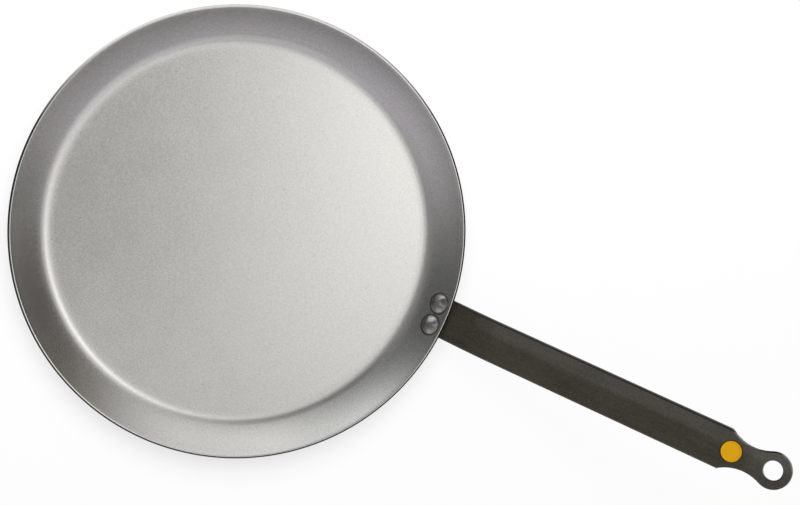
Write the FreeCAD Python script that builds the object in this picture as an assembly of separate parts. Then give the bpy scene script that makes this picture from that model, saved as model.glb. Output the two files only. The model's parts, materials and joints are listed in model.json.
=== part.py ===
import FreeCAD, Part
import math
import os

from FreeCAD import Placement, Rotation, Vector

# Crepe pan: a pressed steel disc, a riveted strip handle and a pull-out badge plug.
# Millimetres and degrees. The origin is the centre of the pan's underside, +Z is up
# and the handle runs out along +X.

# Pan body, pressed from one sheet
rim_diameter = 300.0
pan_height = 21.5
sheet_thickness = 2.5
inner_bend_radius = 12.0
wall_foot_rise = 39.0
wall_rim_rise = 48.0
rim_edge_radius = 0.6

# Handle strip, with rounded edges and a slightly crowned top
strip_width = 27.4
strip_thickness = 5.0
strip_crown = 0.5
strip_edge_radius = 1.5
root_table_gap = 2.3
root_corner_radius = 7.0
saddle_lift = 0.3
rise_run = 10.7
bend_radius = 125.0
grip_rise = 29.3
grip_run = 191.4

# Neck and hanging eye, punched out of the strip's end
eye_diameter = 24.0
eye_hole_diameter = 12.4
neck_width = 16.8
neck_radius = 27.0
punched_edge_radius = 0.4

# Rivets, two side by side through the wall and the strip's root
rivet_depth = 9.7
rivet_head_diameter = 14.4
rivet_head_height = 3.2
rivet_head_skirt = 0.5
rivet_head_gap = 1.1
rivet_shank_diameter = 7.0
rivet_tail_diameter = 12.0
rivet_tail_height = 2.4

# Badge plug, pushed into the strip just before the eye
plug_to_eye = 27.9
plug_head_diameter = 13.8
plug_head_thickness = 1.5
plug_proud = 0.2
plug_edge_radius = 0.3
plug_rim_width = 0.9
plug_dish_depth = 0.25
plug_stem_diameter = 8.0
plug_stem_chamfer = 0.5

# Clearances
seat_gap = 0.05
shank_clearance = 0.1
plug_head_clearance = 0.3
plug_stem_clearance = 0.1


def on_arc(centre, radius, turn):
    """A point of the sheet's section, on an arc turned up from straight below its centre."""
    return centre + Vector(radius * math.sin(turn), 0, -radius * math.cos(turn))


# Worked out for the sheet: a tight bend at the floor's edge runs into the wall's own wide bend
foot_turn = math.radians(wall_foot_rise)
rim_turn = math.radians(wall_rim_rise)
rim_radius = rim_diameter / 2
floor_bend_radius = inner_bend_radius + sheet_thickness
rim_corner_height = pan_height - sheet_thickness * math.cos(rim_turn)
wall_foot_height = floor_bend_radius * (1 - math.cos(foot_turn))
wall_radius = (rim_corner_height - wall_foot_height) / (math.cos(foot_turn) - math.cos(rim_turn))
wall_run = wall_radius * (math.sin(rim_turn) - math.sin(foot_turn))
floor_radius = rim_radius - wall_run - floor_bend_radius * math.sin(foot_turn)
floor_bend_centre = Vector(floor_radius, 0, floor_bend_radius)
wall_centre = on_arc(Vector(rim_radius, 0, rim_corner_height), -wall_radius, rim_turn)

# Worked out for the strip: local X runs up the strip and local Z is square to its top.
# The root lies along the wall where the rivets go through it.
strip_half_width = strip_width / 2
strip_flat_half = strip_half_width - strip_edge_radius
strip_drop = seat_gap + saddle_lift
strip_under = strip_drop + strip_thickness
root_turn = rim_turn - rivet_depth / wall_radius
root_rise = math.degrees(root_turn)
root_frame = Placement(
    on_arc(wall_centre, wall_radius, root_turn), Rotation(Vector(0, 1, 0), -root_rise)
)
root_reach = (
    root_frame.Base.z - root_table_gap - strip_under * math.cos(root_turn)
) / math.sin(root_turn)
bend_start = rivet_depth + rise_run
bend_centre = root_frame.multVec(Vector(bend_start, 0, -strip_drop - bend_radius))
grip_rotation = Rotation(Vector(0, 1, 0), -grip_rise)
eye_frame = Placement(
    bend_centre + grip_rotation.multVec(Vector(grip_run, 0, bend_radius)), grip_rotation
)
plug_frame = eye_frame.multiply(Placement(Vector(-plug_to_eye, 0, 0), Rotation()))
plug_recess_depth = plug_head_thickness - plug_proud
rivet_pitch = rivet_head_diameter + rivet_head_gap
rivet_frame = root_frame.multiply(Placement(Vector(0, rivet_pitch / 2, 0), Rotation()))


def placed(shape, frame):
    """The shape moved from a local frame to the pan's frame."""
    moved = shape.copy()
    moved.Placement = frame.multiply(moved.Placement)
    return moved


def mirrored(shape):
    """The shape's mirror image on the other side of the handle's middle plane."""
    return shape.mirror(Vector(0, 0, 0), Vector(0, 1, 0))


def line(start, end):
    return Part.makeLine(start, end)


def arc(start, via, end):
    return Part.Arc(start, via, end).toShape()


def face_within(edges):
    return Part.Face(Part.Wire(Part.__sortEdges__(edges)))


def turned(edges):
    """A solid of revolution about Z from a closed profile in the XZ plane."""
    return face_within(edges).revolve(Vector(0, 0, 0), Vector(0, 0, 1), 360)


def profile(*points):
    """Straight edges from point to point, each point a radius and a height."""
    corners = [Vector(radius, 0, height) for radius, height in points]
    return [line(start, end) for start, end in zip(corners, corners[1:])]


def dome_arc(radius, foot, top):
    """The profile of a dome, from its rim at one height to its top on the axis at another."""
    rise = top - foot
    ball_radius = (radius**2 + rise**2) / (2 * rise)
    half_turn = math.atan2(rise, radius)
    via = Vector(
        ball_radius * math.sin(half_turn), 0, top - ball_radius * (1 - math.cos(half_turn))
    )
    return arc(Vector(radius, 0, foot), via, Vector(0, 0, top))


def rod(diameter, low, high):
    """A round bar on local Z from one height to another."""
    return Part.makeCylinder(diameter / 2, high - low, Vector(0, 0, low))


def sheet_line(inward, past_rim=0.0):
    """The sheet's underside moved inward, from the axis over both bends to the rim or past it."""

    def bend(centre, radius, first, last):
        turns = (first, (first + last) / 2, last)
        return [on_arc(centre, radius - inward, turn) for turn in turns]

    centre = Vector(0, 0, inward)
    floor_bend = bend(floor_bend_centre, floor_bend_radius, 0, foot_turn)
    wall = bend(wall_centre, wall_radius, foot_turn, rim_turn + past_rim / wall_radius)
    edges = [line(centre, floor_bend[0]), arc(*floor_bend), arc(*wall)]
    return edges, centre, wall[-1]


def space_inside(inward):
    """Everything on the inner side of the sheet's underside moved inward."""
    edges, centre, top = sheet_line(inward, strip_thickness)
    top_centre = Vector(0, 0, top.z)
    return turned(edges + [line(top, top_centre), line(top_centre, centre)])


def drilled_for_rivets(solid):
    """The solid with a clearance hole for each rivet's shank."""
    drill = rod(rivet_shank_diameter + 2 * shank_clearance, -2 * strip_under, 2 * sheet_thickness)
    hole = placed(drill, rivet_frame)
    return solid.cut([hole, mirrored(hole)])


def make_pan_body():
    """Flat floor, bend and flared, slightly bowed wall with a square-cut, lightly rounded rim."""
    outer, outer_centre, outer_top = sheet_line(0)
    inner, inner_centre, inner_top = sheet_line(sheet_thickness)
    ends = [line(outer_centre, inner_centre), line(outer_top, inner_top)]
    solid = turned(outer + inner + ends)
    rim_edges = [
        edge for edge in solid.Edges if edge.BoundBox.ZMin > rim_corner_height - rim_edge_radius
    ]
    return drilled_for_rivets(solid.makeFillet(rim_edge_radius, rim_edges))


def strip_section():
    """The strip's section in local YZ: flat below, round at the edges, crowned on top."""
    slant = strip_edge_radius * math.sqrt(0.5)
    high = -strip_crown - strip_edge_radius
    low = strip_edge_radius - strip_thickness

    def at(across, height):
        return Vector(0, across, height)

    upper_flat = at(strip_flat_half, -strip_crown)
    upper_edge = at(strip_half_width, high)
    lower_edge = at(strip_half_width, low)
    lower_flat = at(strip_flat_half, -strip_thickness)
    side = [
        arc(upper_flat, at(strip_flat_half + slant, high + slant), upper_edge),
        line(upper_edge, lower_edge),
        arc(lower_edge, at(strip_flat_half + slant, low - slant), lower_flat),
    ]
    faces = [
        arc(at(-strip_flat_half, -strip_crown), at(0, 0), upper_flat),
        line(at(-strip_flat_half, -strip_thickness), lower_flat),
    ]
    return face_within(faces + side + [mirrored(edge) for edge in side])


def strip_bar(start, run):
    """A straight length of strip along local X."""
    section = strip_section()
    section.translate(Vector(start, 0, 0))
    return section.extrude(Vector(run, 0, 0))


def make_root():
    """The strip under the wall and up to the bend, with a saddle that fits the wall."""
    run = root_reach + bend_start
    bar = strip_bar(-root_reach, run)
    bar.translate(Vector(0, 0, -strip_drop))
    saddle = Part.makeBox(
        root_reach + rivet_depth - rim_edge_radius,
        2 * strip_flat_half,
        strip_thickness,
        Vector(-root_reach, -strip_flat_half, -strip_under + strip_thickness / 2),
    )
    blank = Part.makeBox(
        run,
        strip_width,
        3 * strip_thickness,
        Vector(-root_reach, -strip_half_width, -2 * strip_thickness),
    )
    corners = [
        edge
        for edge in blank.Edges
        if edge.BoundBox.ZLength > strip_thickness and edge.BoundBox.XMax < 0
    ]
    blank = blank.makeFillet(root_corner_radius, corners)
    root = placed(bar.fuse(saddle).common(blank), root_frame)
    return root.cut(space_inside(-seat_gap))


def make_bend():
    """The strip's one bend, from the root's rise to the grip's."""
    section = strip_section()
    section.translate(Vector(bend_start, 0, -strip_drop))
    start = placed(section, root_frame)
    return start.revolve(bend_centre, Vector(0, 1, 0), root_rise - grip_rise)


def punched_outline():
    """The grip's outline in local XY round the eye: two bites make the neck and run into the eye."""
    eye_radius = eye_diameter / 2
    bite_y = neck_width / 2 + neck_radius
    bite_reach = neck_radius + eye_radius
    bite_x = -math.sqrt(bite_reach**2 - bite_y**2)
    touch = Vector(bite_x, bite_y) * (eye_radius / bite_reach)
    clear_y = strip_half_width + strip_thickness
    shoulder_x = bite_x - math.sqrt(neck_radius**2 - (bite_y - clear_y) ** 2)

    def at(x, y):
        return Vector(x, y, 0)

    shoulder = at(shoulder_x, clear_y)
    side = [
        arc(at(touch.x, touch.y), at(bite_x, neck_width / 2), shoulder),
        line(shoulder, at(-grip_run, clear_y)),
    ]
    ends = [
        arc(at(touch.x, -touch.y), at(eye_radius, 0), at(touch.x, touch.y)),
        line(at(-grip_run, -clear_y), at(-grip_run, clear_y)),
    ]
    return ends + side + [mirrored(edge) for edge in side], shoulder_x


def make_grip():
    """The straight grip, punched to a neck and an eye, with the eye's and the plug's holes."""
    through = 2 * strip_thickness
    edges, shoulder_x = punched_outline()
    outline = face_within(edges)
    outline.translate(Vector(0, 0, -through))
    grip = strip_bar(-grip_run, grip_run + eye_diameter)
    grip = grip.common(outline.extrude(Vector(0, 0, 2 * through)))
    grip = grip.cut(rod(eye_hole_diameter, -through, through))
    punched = [
        edge
        for edge in grip.Edges
        if edge.BoundBox.XMin > shoulder_x and edge.BoundBox.ZLength < strip_thickness / 2
    ]
    grip = grip.makeFillet(punched_edge_radius, punched)
    recess = rod(plug_head_diameter + 2 * plug_head_clearance, -plug_recess_depth, through)
    hole = rod(plug_stem_diameter + 2 * plug_stem_clearance, -through, through)
    return placed(grip, eye_frame).cut([placed(recess, plug_frame), placed(hole, plug_frame)])


def make_handle():
    """Root, bend and grip as one strip."""
    strip = make_root().fuse([make_bend(), make_grip()]).removeSplitter()
    return drilled_for_rivets(strip)


def make_rivet():
    """Domed head on the inner wall, shank, and a formed head under the strip."""
    head = rivet_head_diameter / 2
    tail = rivet_tail_diameter / 2
    sunk = sheet_thickness / 2
    seat = sheet_thickness + seat_gap
    skirt_top = seat + rivet_head_skirt
    head_top = seat + rivet_head_height
    tail_top = -strip_under - seat_gap
    tail_low = tail_top - rivet_tail_height
    dome = turned(
        profile((0, head_top), (0, sunk), (head, sunk), (head, skirt_top))
        + [dome_arc(head, skirt_top, head_top)]
    )
    formed = turned(
        profile((0, tail_low), (0, tail_top), (tail, tail_top)) + [dome_arc(tail, tail_top, tail_low)]
    )
    shank = rod(rivet_shank_diameter, tail_top, skirt_top)
    seated_dome = placed(dome, rivet_frame).common(space_inside(seat))
    return seated_dome.fuse([placed(shank, rivet_frame), placed(formed, rivet_frame)]).removeSplitter()


def make_badge_plug():
    """Round head with a raised rim round a plain shallow dish, on a stem through the strip."""
    head = plug_head_diameter / 2
    stem = plug_stem_diameter / 2
    seat = seat_gap - plug_recess_depth
    top = seat + plug_head_thickness
    dish = top - plug_dish_depth
    dish_edge = head - plug_rim_width
    foot = -strip_thickness
    edge_start = Vector(head, 0, top - plug_edge_radius)
    edge_end = Vector(head - plug_edge_radius, 0, top)
    slant = plug_edge_radius * math.sqrt(0.5)
    edge_via = Vector(edge_end.x + slant, 0, edge_start.z + slant)
    lower = profile(
        (0, foot),
        (stem - plug_stem_chamfer, foot),
        (stem, foot + plug_stem_chamfer),
        (stem, seat),
        (head, seat),
        (edge_start.x, edge_start.z),
    )
    upper = profile(
        (edge_end.x, edge_end.z),
        (dish_edge, top),
        (dish_edge - plug_dish_depth, dish),
        (0, dish),
        (0, foot),
    )
    return placed(turned(lower + [arc(edge_start, edge_via, edge_end)] + upper), plug_frame)


def main():
    left_rivet = make_rivet()
    nodes = {
        "pan_body": make_pan_body(),
        "handle": make_handle(),
        "badge_plug": make_badge_plug(),
        "left_rivet": left_rivet,
        "right_rivet": mirrored(left_rivet),
    }
    os.makedirs("parts", exist_ok=True)
    for name, shape in nodes.items():
        shape.exportStep(f"parts/{name}.step")
        print(f"{name}: solids {len(shape.Solids)} valid {shape.isValid()} volume {shape.Volume:.1f}")
    print("eye centre on the strip's top", eye_frame.Base)
    print("plug centre on the strip's top", plug_frame.Base)
    print("grip normal", grip_rotation.multVec(Vector(0, 0, 1)))
    print(f"floor radius {floor_radius:.3f} root reach {root_reach:.3f}")


main()
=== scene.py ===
import json
import math
import random

import bpy
from mathutils import Matrix, Vector


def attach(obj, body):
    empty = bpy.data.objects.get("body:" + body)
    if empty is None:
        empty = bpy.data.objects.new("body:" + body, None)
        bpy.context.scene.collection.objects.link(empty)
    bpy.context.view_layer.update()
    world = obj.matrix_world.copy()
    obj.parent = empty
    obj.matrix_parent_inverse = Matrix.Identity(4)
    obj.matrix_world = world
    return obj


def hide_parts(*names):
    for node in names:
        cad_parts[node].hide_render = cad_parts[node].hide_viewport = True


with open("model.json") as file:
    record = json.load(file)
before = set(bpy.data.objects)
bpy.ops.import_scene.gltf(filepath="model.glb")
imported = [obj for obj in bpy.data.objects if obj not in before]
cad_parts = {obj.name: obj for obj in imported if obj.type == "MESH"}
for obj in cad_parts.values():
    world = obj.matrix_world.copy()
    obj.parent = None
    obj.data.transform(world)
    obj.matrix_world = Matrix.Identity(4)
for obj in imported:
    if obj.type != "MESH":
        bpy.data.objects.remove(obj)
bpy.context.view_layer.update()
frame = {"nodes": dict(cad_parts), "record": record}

# Crepe pan: pressed steel sheet, riveted strip handle, hammered rivets and a silicone plug.
# Metres and radians, in the pan's own frame: +Z up, +X along the handle towards its hanging eye,
# and +Y to the left of someone who looks that way.
mm = 0.001
quarter_turn = math.pi / 2
upright = Vector((0, 0, 1))
handle_way = Vector((1, 0, 0))
leftward = Vector((0, 1, 0))

# Pressed sheet, as the solid has it
rim_radius = 150 * mm
pan_height = 21.5 * mm
sheet_thickness = 2.5 * mm
inner_bend_radius = 12 * mm
foot_turn = math.radians(39)
rim_turn = math.radians(48)
rim_edge_radius = 0.6 * mm
floor_bend_radius = inner_bend_radius + sheet_thickness
rim_corner_height = pan_height - sheet_thickness * math.cos(rim_turn)
wall_foot_height = floor_bend_radius * (1 - math.cos(foot_turn))
wall_radius = (rim_corner_height - wall_foot_height) / (math.cos(foot_turn) - math.cos(rim_turn))
wall_run = wall_radius * (math.sin(rim_turn) - math.sin(foot_turn))
floor_radius = rim_radius - wall_run - floor_bend_radius * math.sin(foot_turn)
wall_centre = Vector((
    rim_radius - wall_radius * math.sin(rim_turn),
    rim_corner_height + wall_radius * math.cos(rim_turn),
))
sheet_sides = 288
floor_rings = 12
bend_steps = 9
wall_steps = 8
rim_round_steps = 6

# Bend as pressed: a slack start, a tight middle and a slack end,
# within a tenth of a millimetre of the solid's single arc
lead_in_radius = 18.4 * mm
lead_in_turn = math.radians(6.2)
tight_turn = math.radians(27.4)
lead_out_radius = 15.6 * mm
lead_in_rise = lead_in_radius * (1 - math.cos(lead_in_turn))
lead_out_rise = lead_out_radius * (math.cos(tight_turn) - math.cos(foot_turn))
tight_rise = inner_bend_radius * (1 - math.cos(foot_turn)) - lead_in_rise - lead_out_rise
tight_radius = tight_rise / (math.cos(lead_in_turn) - math.cos(tight_turn))
bend_arcs = (
    (lead_in_radius, 0, lead_in_turn),
    (tight_radius, lead_in_turn, tight_turn),
    (lead_out_radius, tight_turn, foot_turn),
)
bend_run = sum(radius * (math.sin(last) - math.sin(first)) for radius, first, last in bend_arcs)
bend_start = floor_radius + inner_bend_radius * math.sin(foot_turn) - bend_run

# Rivets, side by side through the wall and the strip
rivet_depth = 9.7 * mm
rivet_half_pitch = 7.75 * mm
rivet_head_radius = 7.2 * mm
rivet_head_height = 3.2 * mm
rivet_head_skirt = 0.5 * mm
rivet_shank_radius = 3.5 * mm
rivet_tail_radius = 6 * mm
rivet_tail_height = 2.4 * mm
strip_under = 5.35 * mm
seat_gap = 0.05 * mm
seat_rounds = 3
rivet_sides = 96
rivet_dome_rings = 26
rivet_tail_rings = 14
root_turn = rim_turn - rivet_depth / wall_radius
root_spot = wall_centre + wall_radius * Vector((math.sin(root_turn), -math.cos(root_turn)))
root_frame = Matrix.Translation((root_spot.x, 0, root_spot.y)) @ Matrix.Rotation(-root_turn, 4, "Y")

# Hammer blows on a rivet's head, spread from its middle outwards
hammer_blows = 11
hammer_reach = 0.85 * rivet_head_radius
hammer_turn = 2.4
hammer_stray = 0.4
lightest_blow = 0.5
hammer_mark_radius = 3.1 * mm
hammer_mark_depth = 0.17 * mm

# Grip's far end: the hanging eye, round the hole that the record gives, and the badge plug
hanging_hole = next(mount for mount in frame["record"]["mounts"] if mount["name"] == "hanging_hole")
eye_place = Vector(hanging_hole["pos_m"])
eye_hole_radius = hanging_hole["dims"]["r_mm"] * mm
grip_way = leftward.cross(Vector(hanging_hole["axis"]))
strip_half_width = 13.7 * mm
eye_radius = 12 * mm
neck_half_width = 8.4 * mm
neck_radius = 27 * mm
neck_aside = neck_half_width + neck_radius
neck_back = math.sqrt((neck_radius + eye_radius) ** 2 - neck_aside**2)
plug_to_eye = 27.9 * mm
plug_radius = 6.9 * mm

# Sheet's finish. A pair says where a change starts and where it is complete.
wall_finish = (floor_radius + 1 * mm, floor_radius + 9 * mm)
dull_bend_start = (120 * mm, 126 * mm)
dull_bend_end = (128 * mm, 134 * mm)
# Painted shade on the rim's outer corner, lifted on its lit side, where the cut edge gets a painted
# highlight
corner_shade_depth = (1.7 * mm, 2.1 * mm)
corner_shade_level = (rim_corner_height - 1.5 * mm, rim_corner_height)
corner_shade_lift = 0.9
lit_rim_bearing = math.radians(113.5)
lit_rim_way = handle_way * math.cos(lit_rim_bearing) + leftward * math.sin(lit_rim_bearing)
lit_rim = (0.45, 0.85)
cut_edge = (-0.45 * mm, -0.15 * mm)
# Painted shade in a ring round each rivet head
rivet_shade_ring = (rivet_head_radius, rivet_head_radius + 0.6 * mm)
speck_level = (0.72, 0.80)
line_lumps_round = 6
line_lumps_outward = 1500
fine_share = 0.3
wall_smoothing = 0.75
line_relief = 0.10
steel_roughness = 0.20
wall_dulling = 0.05
bend_dulling = 0.164
rivet_shade_dulling = 0.15
corner_dulling = 0.3
steel_dark = (0.301, 0.295, 0.283, 1)
steel_light = (0.536, 0.526, 0.503, 1)
speck_grey = (0.20, 0.19, 0.18, 1)
# Painted shade for the rim's corner, a painted highlight for its cut edge, and painted shade round the
# rivets
corner_shade_black = (0.012, 0.011, 0.010, 1)
cut_highlight_silver = (0.70, 0.68, 0.63, 1)
rivet_shade_brown = (0.05, 0.047, 0.043, 1)

# Handle's finish. The eye's sides are a bearing from the grip's way to its left, a start and an end.
streak_lumps = (18, 260, 40)
streak_relief = 0.2
# Painted shade: a dark line along the strip's left edge
edge_shade_start = (0.55 * mm, 0.95 * mm)
edge_shade_end = (1.45 * mm, 1.95 * mm)
# Painted light: the eye paler, most on its left side
eye_light_reach = (eye_radius, eye_radius + 10 * mm)
eye_light_side = (-6 * mm, 3 * mm)
least_eye_light = 0.6
# Painted highlights and painted shade on the edges of the neck, the eye and its hole
neck_rim = (neck_radius + 0.7 * mm, neck_radius + 1.2 * mm)
eye_rim = (eye_radius - 1.2 * mm, eye_radius - 0.6 * mm)
eye_start = (-8 * mm, -5 * mm)
hole_rim = (eye_hole_radius + 0.3 * mm, eye_hole_radius + 0.9 * mm)
highlit_neck_start = (-36 * mm, -32 * mm)
highlit_neck_end = (-22 * mm, -16 * mm)
highlit_eye_side = (math.radians(54.4), 8.0 * mm, 10.5 * mm)
shaded_neck = (-15 * mm, -9 * mm)
shaded_eye_side = (math.radians(114.3), 9.4 * mm, 10.4 * mm)
shaded_hole_side = (math.radians(-50.3), 1 * mm, 4 * mm)
shade_strength = 0.8
coat_weight = 0.5
coating_roughness = 0.45
coating_dark = (0.0210, 0.0196, 0.0148, 1)
coating_light = (0.0500, 0.0436, 0.0284, 1)
eye_light_grey = (0.067, 0.063, 0.052, 1)
highlight_grey = (0.13, 0.125, 0.11, 1)
shade_black = (0.008, 0.0075, 0.006, 1)

# Rivets' finish, with painted shade in the crease round the head
crease_rim = (rivet_head_radius - 1.5 * mm, rivet_head_radius - 0.35 * mm)
crease_dulling = 0.15
rivet_roughness = 0.26
rivet_dark = (0.24, 0.235, 0.23, 1)
rivet_light = (0.44, 0.43, 0.42, 1)
crease_shade_black = (0.04, 0.038, 0.036, 1)

# Plug's finish, with painted shade on its rim
plug_shade_rim = (plug_radius - 0.6 * mm, plug_radius - 0.2 * mm)
silicone_roughness = 0.48
amber_dark = (0.606, 0.307, 0.0022, 1)
amber_light = (0.706, 0.367, 0.0040, 1)
plug_rim_shade = (0.060, 0.030, 0.002, 1)

# Studio floor and lights
floor_half_width = 30.0
floor_drop = 0.2 * mm
floor_grey = (0.275, 0.275, 0.275, 1)
floor_white = (1, 1, 1, 1)
white_near_pan = 0.74
white_fade = (0.5, 1.6)
grip_panel_place = Vector((-675, 38, 1000)) * mm
grip_panel_end_place = Vector((-1550, 72, 1000)) * mm
lamp_distance = 2.0
pan_middle = Vector((0, 0, 0))
plain_light = 0.094
untinted = (1, 1, 1, 1)
high_lights = (0.6, 0.9)

# Photograph's view
image_width = 800
focal_pixels = 1650
sensor_width = 36
camera_place = Vector((-93.7, 83.2, 1100.1)) * mm
camera_target = Vector((105.61, 28.69, 0)) * mm
camera_turn = math.radians(23.47)
picture_right = Vector((math.cos(camera_turn), math.sin(camera_turn), 0))
picture_up = Vector((-math.sin(camera_turn), math.cos(camera_turn), 0))


class Wire:
    """One output socket of a node tree. Arithmetic on it adds Math nodes to that tree."""

    def __init__(self, tree, socket=None):
        self.tree = tree
        self.socket = socket

    def node(self, kind, settings=None, sockets=None, out=0):
        """A node of a type, its settings set first, then the values or links of its sockets."""
        made = self.tree.nodes.new(kind)
        for name, value in (settings or {}).items():
            setattr(made, name, value)
        for key, value in (sockets or {}).items():
            self.feed(made.inputs[key], value)
        return Wire(self.tree, made.outputs[out])

    def feed(self, target, value):
        """Links a wire to an input socket, or sets the socket's own value."""
        if isinstance(value, Wire):
            self.tree.links.new(value.socket, target)
        else:
            target.default_value = value

    def maths(self, operation, first, second):
        """A Math node's result on two values."""
        return self.node("ShaderNodeMath", {"operation": operation}, {0: first, 1: second})

    def __add__(self, other):
        return self.maths("ADD", self, other)

    def __radd__(self, other):
        return self.maths("ADD", other, self)

    def __sub__(self, other):
        return self.maths("SUBTRACT", self, other)

    def __rsub__(self, other):
        return self.maths("SUBTRACT", other, self)

    def __mul__(self, other):
        return self.maths("MULTIPLY", self, other)

    def __rmul__(self, other):
        return self.maths("MULTIPLY", other, self)

    def exponential(self):
        """The number e to the power of this wire's value."""
        return self.maths("EXPONENT", self, 0.0)

    def size(self):
        """How large this wire's value is, without its sign."""
        return self.maths("ABSOLUTE", self, 0.0)

    def length(self):
        """The length of this wire's vector."""
        return self.node("ShaderNodeVectorMath", {"operation": "LENGTH"}, {0: self}, out="Value")

    def direction(self):
        """This wire's vector at a length of 1."""
        return self.node("ShaderNodeVectorMath", {"operation": "NORMALIZE"}, {0: self})

    def vector(self, other, third=0.0):
        """A vector with this wire as its first part."""
        return self.node("ShaderNodeCombineXYZ", {}, {"X": self, "Y": other, "Z": third})

    def eased(self, start, end):
        """0 before start, 1 after end and a smooth step between them."""
        return self.node(
            "ShaderNodeMapRange",
            {"interpolation_type": "SMOOTHSTEP"},
            {"Value": self, "From Min": start, "From Max": end},
        )

    def colour(self, low, high):
        """The colour between two, by this wire's value from 0 to 1."""
        return self.node("ShaderNodeMix", {"data_type": "RGBA"}, {0: self, 6: low, 7: high}, out=2)

    def laid(self, under, over, share):
        """A colour with another laid over it by this wire, at a share of its full strength."""
        return (self * share).colour(under, over)

    def noise(self, scale, detail, roughness):
        """Smooth noise round 0.5 over this wire's place, with so many lumps to a metre."""
        return self.node(
            "ShaderNodeTexNoise",
            {},
            {"Vector": self, "Scale": scale, "Detail": detail, "Roughness": roughness},
        )

    def swing(self, amount):
        """This wire's noise as a swing about 0, so large for noise from 0 to 1."""
        return (self - 0.5) * amount

    def stretched(self, x, y, z):
        """This wire's place with each axis scaled."""
        return self.node(
            "ShaderNodeVectorMath", {"operation": "MULTIPLY"}, {0: self, 1: (x, y, z)}
        )

    def dot(self, direction):
        """How far this wire's place lies along a direction."""
        return self.node(
            "ShaderNodeVectorMath", {"operation": "DOT_PRODUCT"}, {0: self, 1: direction}, out="Value"
        )

    def bump(self, depth, strength):
        """A normal from this wire's height, which is so many metres deep from 0 to 1."""
        return self.node(
            "ShaderNodeBump", {}, {"Height": self, "Distance": depth, "Strength": strength}
        )


def finish(name):
    """A new material, its shader and the wire of the place on the object, in metres."""
    material = bpy.data.materials.new(name)
    material.use_nodes = True
    tree = material.node_tree
    place = Wire(tree).node("ShaderNodeTexCoord", out="Object")
    return material, tree.nodes["Principled BSDF"], place


def dress(shader, place, **sockets):
    """Sets or links the shader's sockets, each named with its spaces as underscores."""
    for name, value in sockets.items():
        place.feed(shader.inputs[name.replace("_", " ")], value)


def along(place):
    """The three parts of a place as wires."""
    split = place.node("ShaderNodeSeparateXYZ", {}, {"Vector": place})
    node = split.socket.node
    return [Wire(place.tree, output) for output in node.outputs]


def from_rivet(place):
    """How far a place lies from the axis of the nearer rivet."""
    uphill = root_frame.to_3x3() @ handle_way
    up_the_wall = place.dot(uphill) - root_frame.translation.dot(uphill)
    across = along(place)[1].size() - rivet_half_pitch
    return up_the_wall.vector(across).length()


def past_eye(place, way=grip_way):
    """How far a place lies past the eye's axis, along the grip or another way."""
    return place.dot(way) - eye_place.dot(way)


def on_eye_side(place, bearing, start, end):
    """1 on the side of the eye that a bearing, from the grip's way to its left, points to, else 0."""
    way = grip_way * math.cos(bearing) + leftward * math.sin(bearing)
    return past_eye(place, way).eased(start, end)


def from_grip_axis(place, back=0.0, aside=0.0):
    """How far a place lies from an axis square to the grip, set back from the eye's and aside."""
    return (past_eye(place) + back).vector(along(place)[1] - aside).length()


def make_satin_steel():
    """Bare carbon sheet: a blasted floor, a duller bend, and fine drawing lines up the wall.

    Painted shade rings the rivets and darkens the rim's outer corner, except on its lit side, where
    the cut edge has a painted highlight.
    """
    material, shader, place = finish("satin_carbon_steel")
    level = along(place)[2]
    flat = place.stretched(1, 1, 0)
    radius = flat.length()
    heading = flat.direction()
    wall = radius.eased(*wall_finish)
    bend = radius.eased(*dull_bend_start) * (1 - radius.eased(*dull_bend_end))
    # The rim's lit side, where the corner's painted shade is lifted and the cut edge is painted bright
    painted_lit_zone = heading.dot(lit_rim_way).eased(*lit_rim)
    depth = wall_radius - (radius - wall_centre.x).vector(level - wall_centre.y).length()
    outside = 1 - depth.eased(*corner_shade_depth)
    corner = outside * level.eased(*corner_shade_level) * (1 - corner_shade_lift * painted_lit_zone)
    outward = (radius - rim_radius) * math.cos(rim_turn)
    upward = (level - rim_corner_height) * math.sin(rim_turn)
    cut_highlight = (outward + upward).eased(*cut_edge) * painted_lit_zone
    # Painted shade in a ring round each rivet head
    rivet_shade = 1 - from_rivet(place).eased(*rivet_shade_ring)
    grain = place.noise(scale=900, detail=3, roughness=0.65)
    fine = place.noise(scale=2600, detail=2, roughness=0.6)
    cloud = place.noise(scale=38, detail=3, roughness=0.55)
    speck = place.noise(scale=620, detail=1, roughness=0.4).eased(*speck_level) * (1 - wall)
    turn_x, turn_y = [part * line_lumps_round for part in along(heading)[:2]]
    ring_place = turn_x.vector(turn_y, radius * line_lumps_outward)
    lines = ring_place.noise(scale=1, detail=3, roughness=0.6)
    tone = 0.5 + grain.swing(0.8 + 0.4 * wall) + cloud.swing(0.15) + lines.swing(0.03 + 0.06 * wall)
    steel = tone.colour(steel_dark, steel_light)
    speckled = speck.laid(steel, speck_grey, share=0.30)
    # Painted shade on the rim's outer corner, then a painted highlight on the cut edge of its lit side
    corner_shaded = corner.laid(speckled, corner_shade_black, share=0.97)
    cut = cut_highlight.laid(corner_shaded, cut_highlight_silver, share=0.5)
    blasted = grain * (1 - fine_share) + fine * fine_share
    relief = blasted * (1 - wall_smoothing * wall) + lines * line_relief * wall
    dulling = wall_dulling * wall + bend_dulling * bend + rivet_shade_dulling * rivet_shade + corner_dulling * corner
    dress(
        shader,
        place,
        Base_Color=rivet_shade.laid(cut, rivet_shade_brown, share=0.85),
        Metallic=1.0,
        Roughness=steel_roughness + dulling + grain.swing(0.08) + cloud.swing(0.05),
        Normal=relief.bump(depth=0.02 * mm, strength=0.6),
    )
    return material


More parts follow.
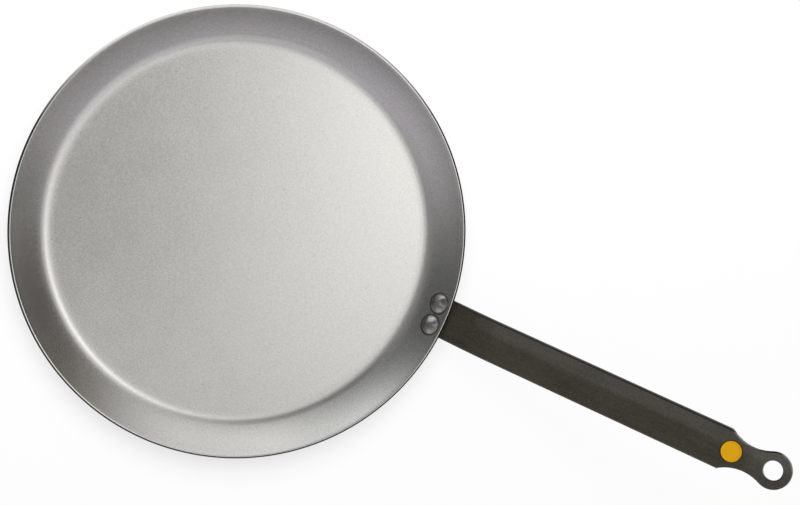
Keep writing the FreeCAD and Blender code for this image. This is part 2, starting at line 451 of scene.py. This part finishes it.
def make_handle_coating():
    """Dark olive coating on the strip, with a fine pebbled skin and painted shade along its left edge.

    Painted light makes the eye paler, most on its left side, and the edges of the neck and eye get
    painted highlights and painted shade by turns.
    """
    material, shader, place = finish("dark_satin_coating")
    across = along(place)[1]
    forth = past_eye(place)
    reach = from_grip_axis(place)
    pebble = place.noise(scale=800, detail=3, roughness=0.6)
    streak = place.stretched(*streak_lumps).noise(scale=1, detail=4, roughness=0.6)
    cloud = place.noise(scale=45, detail=3, roughness=0.5)
    inset = strip_half_width - across
    # Painted shade along the strip's left edge
    edge_shade = inset.eased(*edge_shade_start) * (1 - inset.eased(*edge_shade_end))
    # Painted light round the eye, strongest on its left side
    eye_light_across = least_eye_light + (1 - least_eye_light) * across.eased(*eye_light_side)
    painted_lit_zone = (1 - reach.eased(*eye_light_reach)) * eye_light_across
    neck_edge = 1 - from_grip_axis(place, neck_back, neck_aside).eased(*neck_rim)
    eye_edge = reach.eased(*eye_rim) * forth.eased(*eye_start)
    hole_edge = 1 - reach.eased(*hole_rim)
    # Painted highlights on the edges of the neck and the eye
    painted_highlight = (
        neck_edge * forth.eased(*highlit_neck_start) * (1 - forth.eased(*highlit_neck_end))
        + eye_edge * on_eye_side(place, *highlit_eye_side)
    )
    shaded = (
        neck_edge * forth.eased(*shaded_neck)
        + eye_edge * on_eye_side(place, *shaded_eye_side)
        + hole_edge * on_eye_side(place, *shaded_hole_side)
    )
    tone = 0.5 + pebble.swing(2.2) + streak.swing(1.2) + cloud.swing(0.6)
    coating = tone.colour(coating_dark, coating_light)
    eye_lit = (painted_lit_zone * (0.6 + pebble.swing(1.5))).colour(coating, eye_light_grey)
    highlighted = painted_highlight.laid(eye_lit, highlight_grey, share=0.8)
    # All the painted shade: the edge line and the shaded edges of the neck, eye and hole
    dark = (edge_shade + shaded) * shade_strength
    relief = pebble * (1 - streak_relief) + streak * streak_relief
    dress(
        shader,
        place,
        Base_Color=dark.colour(highlighted, shade_black),
        Roughness=coating_roughness + pebble.swing(0.15) + streak.swing(0.10),
        Coat_Weight=coat_weight * (1 - dark) + cloud.swing(0.2),
        Coat_Roughness=0.09,
        Specular_IOR_Level=0.2,
        Normal=relief.bump(depth=0.008 * mm, strength=0.5),
    )
    return material


def make_hammered_steel():
    """Rivet steel, cloudy, with painted shade in the crease round the head."""
    material, shader, place = finish("hammered_rivet_steel")
    cloud = place.noise(scale=260, detail=3, roughness=0.6)
    grain = place.noise(scale=2200, detail=2, roughness=0.6)
    # Painted shade in the crease round the head
    crease = from_rivet(place).eased(*crease_rim)
    tone = 0.5 + cloud.swing(1.2) + grain.swing(0.4)
    hammered = tone.colour(rivet_dark, rivet_light)
    dress(
        shader,
        place,
        Base_Color=crease.laid(hammered, crease_shade_black, share=0.9),
        Metallic=1.0,
        Roughness=rivet_roughness + cloud.swing(0.15) + crease_dulling * crease,
        Normal=grain.bump(depth=0.015 * mm, strength=0.5),
    )
    return material


def make_yellow_silicone():
    """Moulded silicone, matt, with a slightly uneven tint and painted shade on its rim where it meets its
    recess.
    """
    material, shader, place = finish("yellow_silicone")
    mottle = place.noise(scale=700, detail=3, roughness=0.6)
    skin = place.noise(scale=3000, detail=2, roughness=0.6)
    # Painted shade on the plug's rim
    rim = from_grip_axis(place, plug_to_eye).eased(*plug_shade_rim)
    amber = mottle.colour(amber_dark, amber_light)
    dress(
        shader,
        place,
        Base_Color=rim.laid(amber, plug_rim_shade, share=0.9),
        Roughness=silicone_roughness + skin.swing(0.2),
        Specular_IOR_Level=0.15,
        Normal=skin.bump(depth=0.02 * mm, strength=0.4),
    )
    return material


def make_white_floor():
    """White studio floor, which keeps a soft shadow near the pan."""
    material = bpy.data.materials.new("white_floor")
    material.use_nodes = True
    tree = material.node_tree
    tree.nodes.remove(tree.nodes["Principled BSDF"])
    start = Wire(tree)
    camera, glossy, through = [
        start.node("ShaderNodeLightPath", out=ray)
        for ray in ("Is Camera Ray", "Is Glossy Ray", "Is Transmission Ray")
    ]
    seen = camera + glossy + through
    away = start.node("ShaderNodeTexCoord", out="Object").length().eased(*white_fade)
    white = seen * (white_near_pan + (1 - white_near_pan) * away)
    matt = start.node("ShaderNodeBsdfDiffuse", {}, {"Color": floor_grey})
    glowing = start.node("ShaderNodeEmission", {}, {"Color": floor_white, "Strength": 1.0})
    mixed = start.node("ShaderNodeMixShader", {}, {0: white, 1: matt, 2: glowing})
    start.feed(tree.nodes["Material Output"].inputs["Surface"], mixed)
    return material


def mesh_piece(name, corners, faces, material):
    """A smooth-shaded object from corners and faces."""
    mesh = bpy.data.meshes.new(name)
    mesh.from_pydata(corners, [], faces)
    mesh.update()
    mesh.shade_smooth()
    mesh.materials.append(material)
    piece = bpy.data.objects.new(name, mesh)
    bpy.context.scene.collection.objects.link(piece)
    return piece


def turned(outline, sides):
    """Corners and faces of an outline of radius and height turned about Z, closed on the axis."""
    corners = []
    rings = []
    for radius, height in outline:
        if radius == 0:
            rings.append([len(corners)])
            corners.append(Vector((0, 0, height)))
            continue
        rings.append(range(len(corners), len(corners) + sides))
        for side in range(sides):
            turn = 2 * math.pi * side / sides
            corners.append(Vector((radius * math.cos(turn), radius * math.sin(turn), height)))
    faces = []
    for here, there in zip(rings, rings[1:]):
        for side in range(sides):
            after = (side + 1) % sides
            if len(here) == 1:
                faces.append((here[0], there[side], there[after]))
            elif len(there) == 1:
                faces.append((here[side], there[0], here[after]))
            else:
                faces.append((here[side], there[side], there[after], here[after]))
    return corners, faces


def stepped(start, end, steps):
    """Points along a straight line, its start included and its end left to what follows."""
    return [
        (start[0] + (end[0] - start[0]) * step / steps, start[1] + (end[1] - start[1]) * step / steps)
        for step in range(steps)
    ]


def swept(centre, radius, first, last, steps):
    """Points round an arc, both ends included. Angles are from the radius axis towards +Z."""
    points = []
    for step in range(steps + 1):
        angle = first + (last - first) * step / steps
        points.append((centre[0] + radius * math.cos(angle), centre[1] + radius * math.sin(angle)))
    return points


def bend_points(offset):
    """The bend's points, set out by so much, from the floor up to the wall's foot, which is left out."""
    centre = Vector((bend_start, sheet_thickness + lead_in_radius))
    size = lead_in_radius
    points = []
    for radius, first, last in bend_arcs:
        centre += (size - radius) * Vector((math.sin(first), -math.cos(first)))
        size = radius
        arc = swept(centre, radius + offset, first - quarter_turn, last - quarter_turn, bend_steps)
        points += arc[:-1]
    return points


def sheet_outline():
    """The sheet's section from the floor's centre over the rim and back under to the axis."""
    down = -quarter_turn
    uphill = Vector((math.cos(rim_turn), math.sin(rim_turn)))
    inward = Vector((-math.sin(rim_turn), math.cos(rim_turn)))
    outer_top = Vector((rim_radius, rim_corner_height))
    inner_round = outer_top + inward * (sheet_thickness - rim_edge_radius) - uphill * rim_edge_radius
    outer_round = outer_top + inward * rim_edge_radius - uphill * rim_edge_radius
    facing = rim_turn + quarter_turn
    foot = down + foot_turn
    lip = down + rim_turn - rim_edge_radius / wall_radius
    inner_bend = bend_points(0)
    outer_bend = bend_points(sheet_thickness)[::-1]
    inner_wall = swept(wall_centre, wall_radius - sheet_thickness, foot, lip, wall_steps)
    outer_wall = swept(wall_centre, wall_radius, lip, foot, wall_steps)
    inner_lip = swept(inner_round, rim_edge_radius, facing, rim_turn, rim_round_steps)
    outer_lip = swept(outer_round, rim_edge_radius, rim_turn, rim_turn - quarter_turn, rim_round_steps)
    return (
        stepped((0, sheet_thickness), inner_bend[0], floor_rings)
        + inner_bend
        + inner_wall[:-1]
        + inner_lip
        + outer_lip
        + outer_wall[1:]
        + outer_bend[:-1]
        + stepped(outer_bend[-1], (0, 0), floor_rings)
        + [(0, 0)]
    )


def make_sheet(material):
    """The pressed pan, turned from its section."""
    corners, faces = turned(sheet_outline(), sheet_sides)
    piece = mesh_piece("pan_sheet", corners, [face[::-1] for face in faces], material)
    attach(piece, "pan")
    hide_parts("pan_body")
    return piece


def height_over_wall(point):
    """How far a point lies from the wall's inner face, towards the inside."""
    reach = (Vector((point.xy.length, point.z)) - wall_centre).length
    return wall_radius - sheet_thickness - reach


def rivet_outline():
    """A rivet's section: domed head, skirt, shank and formed tail, from top to bottom."""
    seat = sheet_thickness + seat_gap
    skirt_top = seat + rivet_head_skirt
    rise = rivet_head_height - rivet_head_skirt
    ball = (rivet_head_radius**2 + rise**2) / (2 * rise)
    half = math.asin(rivet_head_radius / ball)
    dome = swept((0, skirt_top + rise - ball), ball, quarter_turn, quarter_turn - half, rivet_dome_rings)
    tail_top = -strip_under - seat_gap
    tail_ball = (rivet_tail_radius**2 + rivet_tail_height**2) / (2 * rivet_tail_height)
    tail_half = math.asin(rivet_tail_radius / tail_ball)
    tail = swept(
        (0, tail_top - rivet_tail_height + tail_ball),
        tail_ball,
        -quarter_turn + tail_half,
        -quarter_turn,
        rivet_tail_rings,
    )
    neck = [(rivet_head_radius, seat), (rivet_shank_radius, seat), (rivet_shank_radius, tail_top)]
    return [(0, dome[0][1])] + dome[1:] + neck + tail[:-1] + [(0, tail[-1][1])]


def hammer_marks(seed):
    """Where the blows fall on a rivet's head, from its axis, and how hard each one is."""
    blows = random.Random(seed)
    marks = []
    for blow in range(hammer_blows):
        reach = hammer_reach * math.sqrt((blow + 0.5) / hammer_blows)
        turn = blow * hammer_turn + blows.uniform(-hammer_stray, hammer_stray)
        force = blows.uniform(lightest_blow, 1.0)
        marks.append((Vector((reach * math.cos(turn), reach * math.sin(turn))), force))
    return marks


def make_rivet(node, side, seed, material):
    """A rivet with real hammer marks in its head, which is seated on the curved wall."""
    placing = root_frame @ Matrix.Translation((0, side * rivet_half_pitch, 0))
    corners, faces = turned(rivet_outline(), rivet_sides)
    marks = hammer_marks(seed)
    seat = sheet_thickness + seat_gap
    skirt_middle = seat + rivet_head_skirt / 2
    underside_middle = (rivet_shank_radius + rivet_head_radius) / 2
    for corner in corners:
        if corner.z > skirt_middle:
            for centre, force in marks:
                apart = (corner.xy - centre).length / hammer_mark_radius
                if apart < 1:
                    corner.z -= hammer_mark_depth * force * (1 - apart * apart) ** 2
        elif corner.z > sheet_thickness and corner.xy.length > underside_middle:
            for _ in range(seat_rounds):
                corner.z -= height_over_wall(placing @ corner) - seat_gap
    piece = mesh_piece(node + "_hammered", [placing @ corner for corner in corners], faces, material)
    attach(piece, "pan")
    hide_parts(node)


def paint_node(node, material):
    """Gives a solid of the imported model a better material."""
    slots = frame["nodes"][node].material_slots
    for slot in slots:
        slot.material = material


def make_floor():
    """The wide floor that the pan stands on."""
    signs = ((-1, -1), (1, -1), (1, 1), (-1, 1))
    corners = [Vector((x * floor_half_width, y * floor_half_width, -floor_drop)) for x, y in signs]
    floor = mesh_piece("studio_floor", corners, [(0, 1, 2, 3)], make_white_floor())
    return floor


def toward(azimuth, elevation):
    """A direction in the room. Azimuth turns clockwise from the picture's right, in degrees."""
    across = math.radians(azimuth)
    high = math.radians(elevation)
    flat = picture_right * math.cos(across) - picture_up * math.sin(across)
    return flat * math.cos(high) + upright * math.sin(high)


def placed(place, x_way, y_way, z_way):
    """The matrix of something at a place, from the directions of its three axes."""
    return Matrix.Translation(place) @ Matrix((x_way, y_way, z_way)).transposed().to_4x4()


def make_lamp(name, place, target, long_side, width, length, radiance):
    """A soft panel at a place, facing a target, its length along a direction."""
    panel = bpy.data.lights.new(name, "AREA")
    panel.shape = "RECTANGLE"
    panel.size = width
    panel.size_y = length
    panel.energy = radiance * math.pi * width * length
    lamp = bpy.data.objects.new(name, panel)
    back = (place - target).normalized()
    side = long_side.cross(back).normalized()
    lamp.matrix_world = placed(place, side, back.cross(side), back)
    lamp.visible_camera = False
    bpy.context.scene.collection.objects.link(lamp)
    return lamp


def make_lamps(floor, sheet):
    """Two narrow panels that show in the strip's coating, a high lamp, and a panel for the floor alone."""
    make_lamp(
        "grip_panel",
        place=grip_panel_place,
        target=grip_panel_place - upright,
        long_side=handle_way,
        width=148 * mm,
        length=950 * mm,
        radiance=1.10,
    )
    make_lamp(
        "grip_panel_end",
        place=grip_panel_end_place,
        target=grip_panel_end_place - upright,
        long_side=handle_way,
        width=215 * mm,
        length=800 * mm,
        radiance=0.58,
    )
    high_lamp = make_lamp(
        "high_lamp",
        place=toward(azimuth=270, elevation=60) * lamp_distance,
        target=pan_middle,
        long_side=picture_right,
        width=0.5,
        length=0.5,
        radiance=8.0,
    )
    high_lamp.visible_glossy = False
    shadow_panel = make_lamp(
        "shadow_panel",
        place=toward(azimuth=270, elevation=58) * lamp_distance,
        target=pan_middle,
        long_side=picture_right,
        width=1.4,
        length=1.4,
        radiance=23.0,
    )
    lit = bpy.data.collections.new("lit_by_shadow_panel")
    lit.objects.link(floor)
    shading = bpy.data.collections.new("shades_shadow_panel")
    shading.objects.link(sheet)
    shadow_panel.light_linking.receiver_collection = lit
    shadow_panel.light_linking.blocker_collection = shading


def glow(gaze, azimuth, elevation, spread, strength):
    """A soft round patch of light in the room. Angles are in degrees."""
    way = toward(azimuth, elevation)
    return ((gaze.dot(way) - 1) * math.radians(spread) ** -2).exponential() * strength


def tinged(gaze, colour, azimuth, start, end, tint):
    """The room's colour with a tint on one side of it, below the high lights."""
    low = 1 - gaze.dot(upright).eased(*high_lights)
    side = gaze.dot(toward(azimuth, 0)).eased(start, end)
    return (side * low).colour(colour, tint)


def make_room():
    """A studio with its key light high on the right, a low bright band beyond and a pale near side.

    Its light is faintly bluish on the near side, warm on the right and greenish at the far left.
    """
    world = bpy.data.worlds.new("studio_room")
    world.use_nodes = True
    tree = world.node_tree
    gaze = Wire(tree).node("ShaderNodeTexCoord", out="Generated")
    key = (
        glow(gaze, azimuth=335.2, elevation=58.6, spread=14.4, strength=3.54)
        + glow(gaze, azimuth=6.3, elevation=78.4, spread=5.9, strength=1.38)
        + glow(gaze, azimuth=31.8, elevation=41.9, spread=13.5, strength=1.11)
    )
    beyond = (
        glow(gaze, azimuth=235.6, elevation=4.1, spread=12.2, strength=1.75)
        + glow(gaze, azimuth=262.3, elevation=14.2, spread=11.1, strength=1.23)
        + glow(gaze, azimuth=291.5, elevation=11.5, spread=17.2, strength=1.37)
    )
    near = (
        glow(gaze, azimuth=35.6, elevation=4.3, spread=20.6, strength=0.37)
        + glow(gaze, azimuth=88.2, elevation=37.6, spread=25.9, strength=1.0)
        + glow(gaze, azimuth=145.9, elevation=21.3, spread=21.1, strength=0.66)
    )
    overhead = (
        glow(gaze, azimuth=123.3, elevation=71.4, spread=4.0, strength=2.6)
        + glow(gaze, azimuth=255.3, elevation=75, spread=4.4, strength=1.28)
        + glow(gaze, azimuth=64, elevation=78.2, spread=4.0, strength=0.68)
    )
    bluish = tinged(gaze, untinted, azimuth=100, start=-0.1, end=0.7, tint=(1.0, 0.975, 1.06, 1))
    warm = tinged(gaze, bluish, azimuth=342, start=0.8, end=0.98, tint=(0.93, 0.88, 0.81, 1))
    greenish = tinged(gaze, warm, azimuth=215, start=0.5, end=0.95, tint=(0.975, 1.0, 1.01, 1))
    background = tree.nodes["Background"]
    gaze.feed(background.inputs["Color"], greenish)
    gaze.feed(background.inputs["Strength"], plain_light + key + beyond + near + overhead)
    bpy.context.scene.world = world


def make_camera():
    """The photograph's view, looking down with the handle turned towards the lower right."""
    lens = bpy.data.cameras.new("photo_view")
    lens.sensor_width = sensor_width
    lens.lens = focal_pixels * sensor_width / image_width
    camera = bpy.data.objects.new("photo_view", lens)
    ahead = (camera_target - camera_place).normalized()
    right = ahead.cross(picture_up).normalized()
    camera.matrix_world = placed(camera_place, right, right.cross(ahead), -ahead)
    bpy.context.scene.collection.objects.link(camera)
    bpy.context.scene.camera = camera


sheet = make_sheet(make_satin_steel())
hammered = make_hammered_steel()
make_rivet("left_rivet", side=1, seed=3, material=hammered)
make_rivet("right_rivet", side=-1, seed=8, material=hammered)
paint_node("handle", make_handle_coating())
paint_node("badge_plug", make_yellow_silicone())
make_lamps(make_floor(), sheet)
make_room()
make_camera()
bpy.context.scene.view_settings.view_transform = "Standard"
